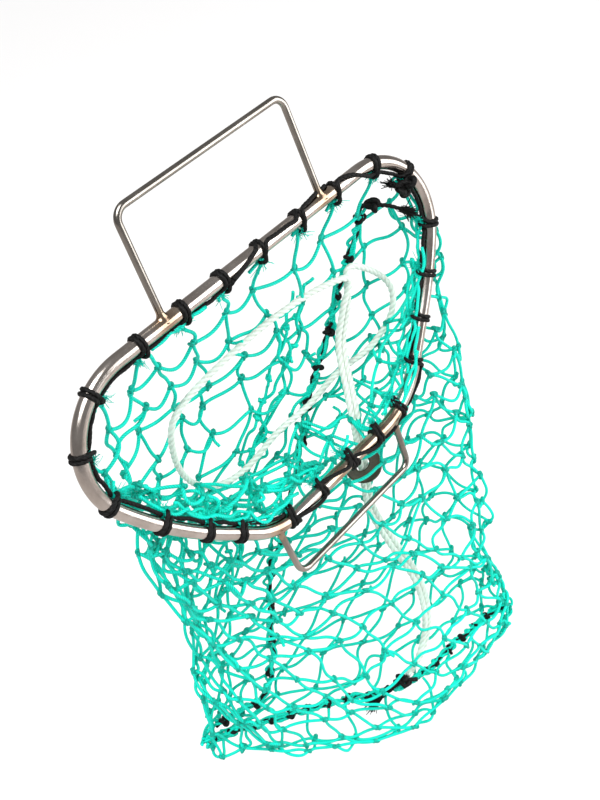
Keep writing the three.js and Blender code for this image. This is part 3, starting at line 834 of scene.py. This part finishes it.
def frayed_tail(points, cord_radius, seed, fibres, brush):
    """A short end of cord that opens into a brush of fibres."""
    rng = np.random.default_rng(seed)
    line = course(points, 10, 0.8)
    stem = sweep(line, cord_radius * np.linspace(1.0, 0.8, len(line)), 10, strands=3, lay=8.0, groove=0.3)
    direction = unit(line[-1] - line[-4])
    t = np.linspace(0, 1, 7)[None, :, None]
    start = line[-1] - direction * 2 + rng.normal(0, cord_radius * 0.5, (fibres, 3))
    spread = unit(direction + rng.normal(0, 0.26, (fibres, 3)))
    curl = rng.normal(0, 0.12, (fibres, 3))
    reach = rng.uniform(0.6, 1.0, (fibres, 1, 1)) * brush
    ways = direction * t + (spread - direction)[:, None] * t ** 1.5 + curl[:, None] * t ** 2
    return joined([stem, sweep(start[:, None] + reach * ways, 0.26, 5)])


def make_lacing():
    route = lacing_route()
    cord = sweep(route, LACE_RADIUS, 12, strands=3, lay=LACE_LAY, groove=0.16)
    stitches = [f"lacing_stitch_{number:02d}" for number in range(1, len(HITCH_PLACES) + 1)]
    make_piece("lacing_cord_run", cord, black_cord, stitches)
    start, end = route[0], route[-1]
    closing = course([end, 0.5 * (start + end) + to_part(np.array([0, -0.6, 0])), start], 10, 1.0)
    knot_place = hoop_line.beside(132.0, 25, 8.0)
    tail_end = to_part(np.array([109, LONG_SIDE - 19, 3.0]))
    middle = 0.5 * (knot_place + tail_end) + [0, 0, -1.5]
    shapes = [sweep(closing, LACE_RADIUS, 10),
              overhand_knot(knot_place, 5.2, KNOT_CORD_RADIUS, 3),
              overhand_knot(knot_place + [-3, 1, -2.5], 4.2, KNOT_CORD_RADIUS, 8),
              frayed_tail([knot_place, middle, tail_end], KNOT_CORD_RADIUS, 5, 60, 9.0)]
    make_piece("lacing_end_knot_tied", joined(shapes), black_cord, ["lacing_end_knot"])


# ---- The bag's twine ----

def warp(row, share, rng):
    """A slow random wander over the net, about 1 either way, that closes round the bag."""
    total = np.zeros_like(share)
    for waves in (2, 3, 4, 5, 7):
        for slope in rng.uniform(-1.2, 1.2, 2):
            phase = slope * row + rng.uniform(0, TURN)
            total += np.sin(TURN * waves * share + phase) / waves ** 0.4
    return total / 2.2


def rim_shares(share, rng):
    """The rim's knots lie at the hitches that hold them, each at the one nearest to its own place."""
    distance = bag.left + share * hoop_line.total
    away = np.array(HITCH_PLACES)[:, None] - distance
    away = np.mod(away + hoop_line.total / 2, hoop_line.total) - hoop_line.total / 2
    nearest = np.take_along_axis(away, np.abs(away).argmin(axis=0)[None], axis=0)[0]
    return share + (0.9 * nearest + rng.normal(0, 1.2, share.shape)) / hoop_line.total


def gather(points, rng):
    """Draws knots together at some places, where folds of the net have caught."""
    spots = points[rng.integers(4, ROWS - 1, GATHERS), rng.integers(0, COLUMNS, GATHERS)]
    for spot in spots:
        away = points[1:ROWS] - spot
        distance = np.linalg.norm(away, axis=-1, keepdims=True)
        pull = rng.uniform(0.35, 0.75) * np.exp(-(distance / GATHER_REACH) ** 2)
        points[1:ROWS] -= pull * away
    return points


def lattice():
    """Places of the knots, an array of rows by columns, and where each is on the bag."""
    rng = np.random.default_rng(42)
    row, column = np.meshgrid(np.arange(ROWS + 1), np.arange(COLUMNS), indexing="ij")
    share = (column + 0.5 - TWIST * np.maximum(row - TWIST_FROM_ROW, 0)) / COLUMNS
    inner_row = (row > 0) & (row < ROWS)
    wrinkle = np.sin(TURN * row / 3.1 + 2.2 * np.sin(4 * np.pi * share + 1))
    wrinkle = 0.25 * wrinkle * np.clip((row - 5) / 4, 0, 1)
    down = row + inner_row * (0.26 * warp(row, share, rng) + wrinkle + rng.normal(0, 0.12, share.shape))
    share = share + inner_row * (0.3 * warp(row, share, rng) + rng.normal(0, 0.1, share.shape)) / COLUMNS
    share[0] = rim_shares(share[0], rng)
    across, _, is_back = bag.place(share, down / ROWS)
    bunched = np.where(is_back, 0, np.sin(np.pi * np.clip(across, 0, 1)) ** 0.6)
    front_down = np.interp(down, np.arange(ROWS + 1), FRONT_DOWN)
    back_down = 1 - (1 - np.clip(down / ROWS, 0, 1)) ** ROW_CLOSING
    down = (1 - bunched) * back_down + bunched * front_down
    seam_across, seam_down = np.array(SIDE_SEAM_PLACES).T
    from_fold = across - np.interp(down, seam_down, seam_across) + FOLD_ASIDE
    folded = 0.7 * inner_row * is_back * np.exp(-(from_fold / FOLD_WIDTH) ** 2)
    share = share - folded * from_fold * bag.top_share
    points = bag.point(share, np.clip(down, 0, 0.999))
    from_left = np.minimum(np.mod(share, 1), 1 - np.mod(share, 1))
    fold_distance = np.minimum(np.abs(share - bag.top_share), from_left)
    points[..., 0] += 8 * inner_row * np.exp(-(fold_distance / 0.045) ** 2 - ((row - 3) / 2.5) ** 2)
    inner_edge = hoop_line.beside(bag.left + share[0] * hoop_line.total, 0, HOOP_RADIUS + TWINE_RADIUS + 0.2)
    points[0] = inner_edge - VIEWER_SIDE
    bunched = bunched * rng.uniform(0.45, 1.3, bunched.shape)
    points[..., 1] += bunched * HEAP_INWARD[:, None]
    points[..., 2] += bunched * HEAP_UP[:, None]
    amount = np.where(HEAP_INWARD[:, None] * bunched > 4, 3.5, 2.0)
    points += (inner_row * amount)[..., None] * rng.normal(0, 1, points.shape)
    return gather(points, rng), share, down, is_back


def settle(points):
    """Lets the knots hang: gravity pulls, no bar outgrows its length, and no knot strays far from the bag."""
    rest = points.copy()
    reach = np.full(points.shape[:2], SETTLING_REACH)
    reach[[0, ROWS]] = 0
    for _ in range(SETTLING_PULLS):
        points[..., 2] -= SETTLING_DROP
        for upper, lower in bar_ends():
            gap = points[lower] - points[upper]
            length = np.linalg.norm(gap, axis=-1, keepdims=True)
            over = np.maximum(length - BAR_LENGTH * 0.985, 0) / np.maximum(length, 1e-6)
            np.add.at(points, upper, 0.35 * over * gap)
            np.add.at(points, lower, -0.35 * over * gap)
        stray = points - rest
        distance = np.linalg.norm(stray, axis=-1)
        points = rest + stray * np.minimum(1, reach / np.maximum(distance, 1e-6))[..., None]
    return points


def bar_ends():
    """For the bars that go down and for those that go round: the (rows, columns) of their ends."""
    row, column = (index.ravel() for index in np.meshgrid(np.arange(ROWS), np.arange(COLUMNS), indexing="ij"))
    level = row > 0
    beside = (column + 1) % COLUMNS
    return [((row, column), (row + 1, column)), ((row[level], column[level]), (row[level], beside[level]))]


def slack_bars(start, end, leave, arrive, normal, hang, rng):
    """The line of each bar: it leaves its knots their own way, bends over, and bows by its slack.

    `hang` says how much of the bow is downwards."""
    gap = end - start
    chord = np.linalg.norm(gap, axis=1, keepdims=True)
    way = gap / chord
    count = len(start)
    leave = unit(0.6 * way + 0.5 * leave + rng.normal(0, 0.17, (count, 3)))
    arrive = unit(0.6 * way + 0.5 * arrive + rng.normal(0, 0.17, (count, 3)))
    t = np.linspace(0, 1, BAR_STEPS)[None, :, None]
    handle = 0.38 * chord[:, None]
    second, third = start[:, None] + handle * leave[:, None], end[:, None] - handle * arrive[:, None]
    line = (start[:, None] * (1 - t) ** 3 + 3 * second * t * (1 - t) ** 2
            + 3 * third * t ** 2 * (1 - t) + end[:, None] * t ** 3)
    length = np.linalg.norm(np.diff(line, axis=1), axis=2).sum(1, keepdims=True)
    slack = np.maximum(BAR_LENGTH * rng.uniform(0.95, 1.03, (count, 1)) - length, 0)
    bow = np.minimum(np.sqrt(0.375 * length * slack), 1.8 + 5.2 * np.minimum(hang, 1)[:, None])
    sag = -UP + (way @ UP)[:, None] * way
    sideways = np.cross(way, normal)
    aim = hang[:, None] * sag + rng.normal(0, 0.5, (count, 1)) * sideways
    aim = aim + rng.normal(0, 0.3, (count, 1)) * normal
    wave = rng.normal(0, 0.9, (count, 1)) * sideways
    return line + (bow * unit(aim))[:, None] * 4 * t * (1 - t) + wave[:, None] * np.sin(TURN * t)


def bar_paths(points, outward, rng):
    """The lines of the bars that go down, then of those that go round."""
    downward = np.empty_like(points)
    for row in range(ROWS + 1):
        downward[row] = points[min(row + 1, ROWS)] - points[max(row - 1, 0)]
    downward = unit(downward)
    (upper, lower), (left, right) = bar_ends()
    along = unit(points[right] - points[left])
    low = np.clip((left[0] - 5) / 4, 0, 1)
    arriving = along + (1.2 * low - 0.7)[:, None] * downward[right]
    ends = [(upper, lower, downward[upper], downward[lower], np.full(len(upper[0]), 0.3)),
            (left, right, unit(along + 0.6 * downward[left]), unit(arriving), 1.2 - 0.9 * low)]
    lines = []
    for start, end, leave, arrive, hang in ends:
        normal = unit(outward[start] + outward[end])
        lines.append(slack_bars(points[start], points[end], leave, arrive, normal, hang, rng))
    return np.concatenate(lines)


def net_knots(points, outward, downward, rng):
    """A knot at each place: a small trefoil of twine, longer down the net than across it."""
    loop = trefoil(24, 1.1)
    size = rng.uniform(0.50, 0.64, (len(points), 1, 1))
    across = unit(np.cross(downward, outward))
    outward = np.cross(across, downward)
    spin = rng.uniform(0, TURN, len(points))
    tilt = rng.normal(0, 0.35, (len(points), 1))
    downward = unit(downward + tilt * across)
    across = np.cross(outward, downward)
    c, s = np.cos(spin)[:, None], np.sin(spin)[:, None]
    x = loop[:, 0] * c - loop[:, 1] * s
    y = loop[:, 0] * s + loop[:, 1] * c
    path = (0.8 * x[..., None] * across[:, None] + 1.7 * y[..., None] * downward[:, None]
            + loop[:, 2:] * outward[:, None])
    return sweep(points[:, None] + size * path, THIN_TWINE, 6, closed=True)


def before_toggle(points):
    """Lets the front panel's twine pass outside the toggle wherever it slides on the rope."""
    x, y, z = TOGGLE["place"]
    off_side = points[..., 0] - x
    limit = y - np.sqrt(np.maximum(TOGGLE_CLEARANCE ** 2 - off_side ** 2, 0))
    level = np.clip((TOGGLE_SLIDE + 18 - np.abs(points[..., 2] - z)) / 12, 0, 1)
    level = level * (np.abs(off_side) < TOGGLE_CLEARANCE)
    moved = points.copy()
    moved[..., 1] += level * (np.minimum(points[..., 1], limit) - points[..., 1])
    return moved


def make_net():
    rng = np.random.default_rng(5)
    points, share, down, is_back = lattice()
    points = settle(points)
    outward = bag.outward(share, np.clip(down, 0.02, 0.97))
    lines = bar_paths(points, outward, rng)
    bar_is_back = np.concatenate([is_back[upper] for upper, _ in bar_ends()])
    lines[~bar_is_back] = before_toggle(lines[~bar_is_back])
    points[~is_back] = before_toggle(points[~is_back])
    knot_places = points[1:ROWS].reshape(-1, 3)
    knot_outward = outward[1:ROWS].reshape(-1, 3)
    downward = unit(points[2:ROWS + 1] - points[0:ROWS - 1]).reshape(-1, 3)
    knot_is_back = is_back[1:ROWS].reshape(-1)
    for name, wanted in (("net_back", True), ("net_front", False)):
        bars = sweep(lines[bar_is_back == wanted], TWINE_RADIUS, 8)
        make_piece(f"{name}_bars", bars, net_twine, [name])
        here = knot_is_back == wanted
        knots = net_knots(knot_places[here], knot_outward[here], downward[here], rng)
        make_piece(f"{name}_knots", knots, shaded_knot_twine)
    make_loose_ends(knot_places, downward, rng)
    make_heap()


def cut_ends(knot_places, downward, rng):
    """Ends of twine that stand out from some of the knots, each cut at a length of its own."""
    shapes = []
    for index in rng.choice(len(knot_places), LOOSE_ENDS, replace=False):
        start, way = knot_places[index], downward[index] * rng.choice([-1, 1])
        reach, curl = rng.uniform(5, 10), rng.normal(0, 0.6, 3)
        line = [start, start + 0.5 * reach * unit(way + 0.5 * curl), start + reach * unit(way + 1.3 * curl)]
        shapes.append(sweep(course(line, 8, 1.2), THIN_TWINE, 8))
    return shapes


def beside_hoop(first, last, angle, radius, seed, wander=1.2):
    """A strand that runs beside the hoop from one distance along it to another."""
    edge = hoop_line.beside(np.arange(first, last, 2.0), angle, radius)
    return sweep(wandering(edge, wander, 31 + 3 * (seed % 5), 300 + seed), THIN_TWINE, 8)


def tied_meshes(rng):
    """At each hitch, twine that comes over the tube's inner edge to be tied, with a tuft of its fibres."""
    shapes = []
    for place in HITCH_PLACES:
        for _ in range(2):
            aside, angle = rng.uniform(-3.2, 3.2), rng.uniform(-12, 8)
            tied = hoop_line.beside(place + aside, angle, 5.3)
            edge = hoop_line.beside(place + 1.3 * aside, -20, 6.2)
            away = hoop_line.beside(place + rng.uniform(-9, 9), -22, rng.uniform(8, 13))
            shapes.append(sweep(course([tied, edge, away], 8, 1.0), THIN_TWINE, 8))
        root = hoop_line.beside(place + rng.uniform(-4, 4), -15, 6.5)
        out = unit(to_part(hoop_line.inward(place) - 0.5 * UP))
        fibres = root + rng.normal(0, 1.1, (TUFT_FIBRES, 1, 3))
        t = np.linspace(0, 1, 6)[None, :, None]
        ways = unit(out + rng.normal(0, 0.55, (TUFT_FIBRES, 3)))[:, None]
        bends = rng.normal(0, 0.5, (TUFT_FIBRES, 1, 3))
        fibres = fibres + rng.uniform(1.5, 4.8, (TUFT_FIBRES, 1, 1)) * (ways * t + bends * t ** 2)
        shapes.append(sweep(fibres, 0.2, 4))
    return shapes


def make_heap():
    """The slack of the front panel, gathered in a loose heap just inside the hoop's short side."""
    rng = np.random.default_rng(23)
    first, last, width = HEAP_PLACE
    distance = np.linspace(first, last, HEAP_KNOTS)
    height = width * np.sin(np.pi * (distance - first) / (last - first)) ** 0.5
    distance = distance + rng.normal(0, 5, HEAP_KNOTS)
    inward = HOOP_RADIUS + 2 + height * rng.beta(1.0, 1.5, HEAP_KNOTS)
    behind = rng.uniform(2, 17, HEAP_KNOTS)
    knots = hoop_line.beside(distance, 0, inward) - behind[:, None] * VIEWER_SIDE
    start = np.repeat(np.arange(HEAP_KNOTS - 3), 2)
    end = start + rng.integers(1, 4, len(start))
    ways = unit(rng.normal(0, 1, (3, len(start), 3)))
    lines = slack_bars(knots[start], knots[end], *ways, np.full(len(start), 0.6), rng)
    shapes = [sweep(lines, TWINE_RADIUS, 8)]
    for number in range(5):
        begin, stop = first + rng.uniform(10, 70), last - rng.uniform(0, 30)
        shapes.append(beside_hoop(begin, stop, -30 + 7 * number, 6.5 + 0.7 * number, 20 + number, 2.4))
    make_piece("net_heap_bars", joined(shapes), net_twine)
    facing, aside = unit(rng.normal(0, 1, (2, HEAP_KNOTS, 3)))
    knots = net_knots(knots, facing, unit(np.cross(facing, aside)), rng)
    make_piece("net_heap_knots", knots, shaded_knot_twine)


def make_loose_ends(knot_places, downward, rng):
    """Cut ends, the twine tied in at the hitches, and the strands that run beside the hoop."""
    shapes = cut_ends(knot_places, downward, rng) + tied_meshes(rng)
    shapes += [beside_hoop(*strand, number) for number, strand in enumerate(EDGE_STRANDS)]
    make_piece("net_loose_ends", joined(shapes), net_twine)


# ---- Seams of the bag ----

def wandering(line, amount, wavelength, seed):
    """The line with a slow random wander."""
    rng = np.random.default_rng(seed)
    along = lengths_along(line)
    shift = np.zeros_like(line)
    for axis in range(3):
        for part in (1.0, 0.57, 0.31):
            shift[:, axis] += np.sin(TURN * along / (wavelength * part) + rng.uniform(0, 6.28)) * part
    return line + amount * shift / 1.5


def edge_twine(line, amount, wavelength, seed):
    return sweep(wandering(line, amount, wavelength, seed), TWINE_RADIUS, 6)


def seam_cord(line):
    return sweep(line, SEAM_CORD_RADIUS, 10, strands=3, lay=7.0, groove=0.2)


def make_side_seam():
    places = np.array(SIDE_SEAM_PLACES)
    line = course(bag.panel(places[:, 0], places[:, 1], True), 20, 1.0)
    inside = unit(np.array([-0.3, -1.0, 0.1]))
    cord_line = wandering(line + 1.9 * inside, 1.2, 26, 21)
    shapes = [seam_cord(cord_line)]
    selvage = [edge_twine(line + 1.8 * inside, 2.6, 27 + 5 * number, 30 + number) for number in range(4)]
    for number in range(3):
        beside = bag.panel(places[1:12, 0] - 0.09 - 0.02 * number, places[1:12, 1], True)
        strand = wandering(course(beside, 20, 1.0), 3.2, 41 + 6 * number, 70 + number)
        selvage.append(sweep(strand, TWINE_RADIUS, 6))
        for index in range(12 + 5 * number, len(strand) - 4, 31):
            selvage.append(twine_knot(strand[index], 300 + index))
    for number, place in enumerate(np.arange(4.0, lengths_along(line)[-1] - 3, SEAM_KNOT_SPACING)):
        index, size = int(place), 2.3 + 0.4 * (number % 3 == 0)
        shapes.append(overhand_knot(cord_line[index] + 1.5 * inside, size, 1.2, 50 + number, 30, 8))
        selvage.append(twine_knot(line[index] + [1.2, 0, -2.2], 80 + number))
    knot = cord_line[0] + np.array([5.5, -5.7, 3.0])
    neck = course([cord_line[2], cord_line[0] + [1.2, -1.0, 2.8], knot], 12, 0.8)
    tail = [knot, knot + [5.5, -7.5, -1.6], knot + [9.9, -14.5, -4.8]]
    shapes += [sweep(neck, 1.4, 10), overhand_knot(knot, 3.6, KNOT_CORD_RADIUS, 99),
               frayed_tail(tail, KNOT_CORD_RADIUS, 17, 70, 10.0)]
    make_piece("side_seam_cord", joined(shapes), black_cord, ["side_seam", "side_seam_knot"])
    make_piece("side_seam_selvage", joined(selvage), net_twine)


def make_bottom_seam():
    line = evenly(bag.seam_point(np.linspace(0.01, 0.99, 60)) + HANG_ORIGIN, 1.0)
    length = lengths_along(line)[-1]
    cord_line = wandering(line, 0.8, 30, 41)
    shapes = [seam_cord(cord_line)]
    for number, place in enumerate(np.arange(6.0, length - 4, 14.0)):
        size = 2.0 + 0.5 * (number % 3 == 1)
        shapes.append(overhand_knot(cord_line[int(place)], size, SEAM_CORD_RADIUS, 150 + number, 30, 8))
    anchor = np.array(sum(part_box("rope_anchor_knot"), Vector()) / 2 / MM)
    tail = [anchor, anchor + [-9, 3, -3], anchor + [-18, 7, -8]]
    shapes += [overhand_knot(anchor, 4.0, 1.3, 171), overhand_knot(anchor + [2, 0, 1], 3.4, 1.3, 172),
               frayed_tail(tail, KNOT_CORD_RADIUS, 19, 70, 12.0),
               sweep(np.array([anchor, anchor + [4, -4, 0], anchor + [8, -8, -1]]), KNOT_CORD_RADIUS, 10)]
    selvage = [edge_twine(line, 2.0, 21 + 6 * number, 60 + number) for number in range(4)]
    for number, place in enumerate(np.arange(3.0, length - 3, 9.0)):
        selvage.append(twine_knot(line[int(place)] + [0, 1.5, -1.8], 180 + number))
    for number in range(5):
        far = line[24 + 9 * number] + [0, 1.5, -2 + 4.0 * (number % 3)]
        strand = evenly(np.linspace(line[2], far, 6), 1.0)
        selvage.append(edge_twine(strand, 1.8, 25 + 4 * number, 230 + number))
    replaced = ["bottom_seam", "rope_anchor_knot"]
    make_piece("bottom_seam_cord", joined(shapes), black_cord, replaced)
    make_piece("bottom_seam_selvage", joined(selvage), net_twine)


# ---- The whole scene ----

make_camera()
make_studio()
foot_places = [hoop_line.total - UPPER_HANDLE["foot"], UPPER_HANDLE["foot"],
               short_side_at(-LOWER_HANDLE["foot"]), short_side_at(LOWER_HANDLE["foot"])]
heated = to_part(hoop_line.at(np.array(foot_places + HEATED_PLACES)))
steel = steel_material("brushed_steel", (0.38, 0.33, 0.29), (0.70, 0.65, 0.61), heated)
# Painted shade: the handle rods get a darker copy of the hoop's steel colours, for the duller light they
# mirror.
shaded_rod_steel = steel_material("shaded_rod_steel", (0.21, 0.195, 0.175), (0.44, 0.41, 0.37), heated)
weld_steel = steel_material("weld_steel", (0.30, 0.26, 0.22), (0.60, 0.54, 0.48), heated, 20.0)
black_cord = cord_material("black_cord", (0.0003, 0.0003, 0.0003), (0.004, 0.004, 0.004), LACE_LAY,
                           roughness=0.6, specular=0.22)
rope_fibre = cord_material("pale_rope", (0.50, 0.56, 0.48), (0.76, 0.84, 0.77), ROPE_LAY, roughness=0.75,
                           wear=25.0)
twine_looks = {"lay": TWINE_LAY, "roughness": 0.5, "specular": 0.2, "depth": 0.0001}
net_twine = cord_material("net_twine", (0.0, 0.15, 0.11), (0.0, 0.78, 0.60), **twine_looks)
# Painted shade: the knots get a darker copy of the bars' twine colours, for the shade inside a tied knot.
shaded_knot_twine = cord_material("shaded_knot_twine", (0.0, 0.12, 0.09), (0.0, 0.44, 0.33), **twine_looks)
olive_plastic = toggle_material()
make_rope()
make_hoop()
make_handles(foot_places)
make_lacing()
make_net()
make_side_seam()
make_bottom_seam()
